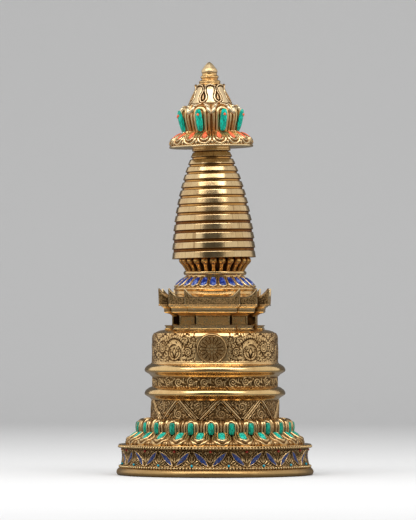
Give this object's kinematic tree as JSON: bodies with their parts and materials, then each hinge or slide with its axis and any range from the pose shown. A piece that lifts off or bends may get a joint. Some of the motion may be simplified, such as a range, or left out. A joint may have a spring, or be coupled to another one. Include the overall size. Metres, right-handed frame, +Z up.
{
  "type": "stupa statuette",
  "caption": "Tall gilded stupa statuette with a round lotus base, drum and dome, stepped harmika with an upturned eave, ringed spire, parasol and jewel, inlaid with stones.",
  "frame": {"origin": "centre of the foot, on the surface that it stands on", "axes": "+Z up, the front faces -Y"},
  "size_m": [0.214, 0.214, 0.4479],
  "materials": {
    "gilt": "polished gilding with dark patina in the grooves",
    "turquoise": "polished cabochon with dark veins",
    "lapis": "glossy polished",
    "coral": "polished bead"
  },
  "bodies": {
    "root": {"spire_ring_01": "gilt", "spire_ring_02": "gilt", "spire_ring_03": "gilt", "spire_ring_04": "gilt", "spire_ring_05": "gilt", "spire_ring_06": "gilt", "spire_ring_07": "gilt", "spire_ring_08": "gilt", "spire_ring_09": "gilt", "spire_ring_10": "gilt", "spire_ring_11": "gilt", "spire_ring_12": "gilt", "spire_ring_13": "gilt", "parasol_collar": "gilt", "parasol": "gilt", "turquoise_petal_1": "turquoise", "turquoise_petal_2": "turquoise", "turquoise_petal_3": "turquoise", "turquoise_petal_4": "turquoise", "turquoise_petal_5": "turquoise", "turquoise_petal_6": "turquoise", "turquoise_petal_7": "turquoise", "turquoise_petal_8": "turquoise", "bud_petals": "gilt", "crown_petals": "gilt", "finial_collar": "gilt", "finial_jewel": "gilt", "foot_moulding": "gilt", "lower_bead_row": "gilt", "frieze_wall": "gilt", "upper_bead_row": "gilt", "rim_moulding": "gilt", "lotus_lower_petals": "gilt", "lotus_upper_petals": "gilt", "drum_lower_band": "gilt", "drum_lower_ring": "gilt", "drum_middle_band": "gilt", "drum_upper_ring": "gilt", "dome": "gilt", "harmika_plinth": "gilt", "harmika_body": "gilt", "harmika_cornice": "gilt", "harmika_eave": "gilt", "lotus_seat": "gilt", "lapis_lotus": "lapis", "neck_ring": "gilt", "flared_petal_cup": "gilt", "spire_core": "gilt"}
  },
  "joints": []
}
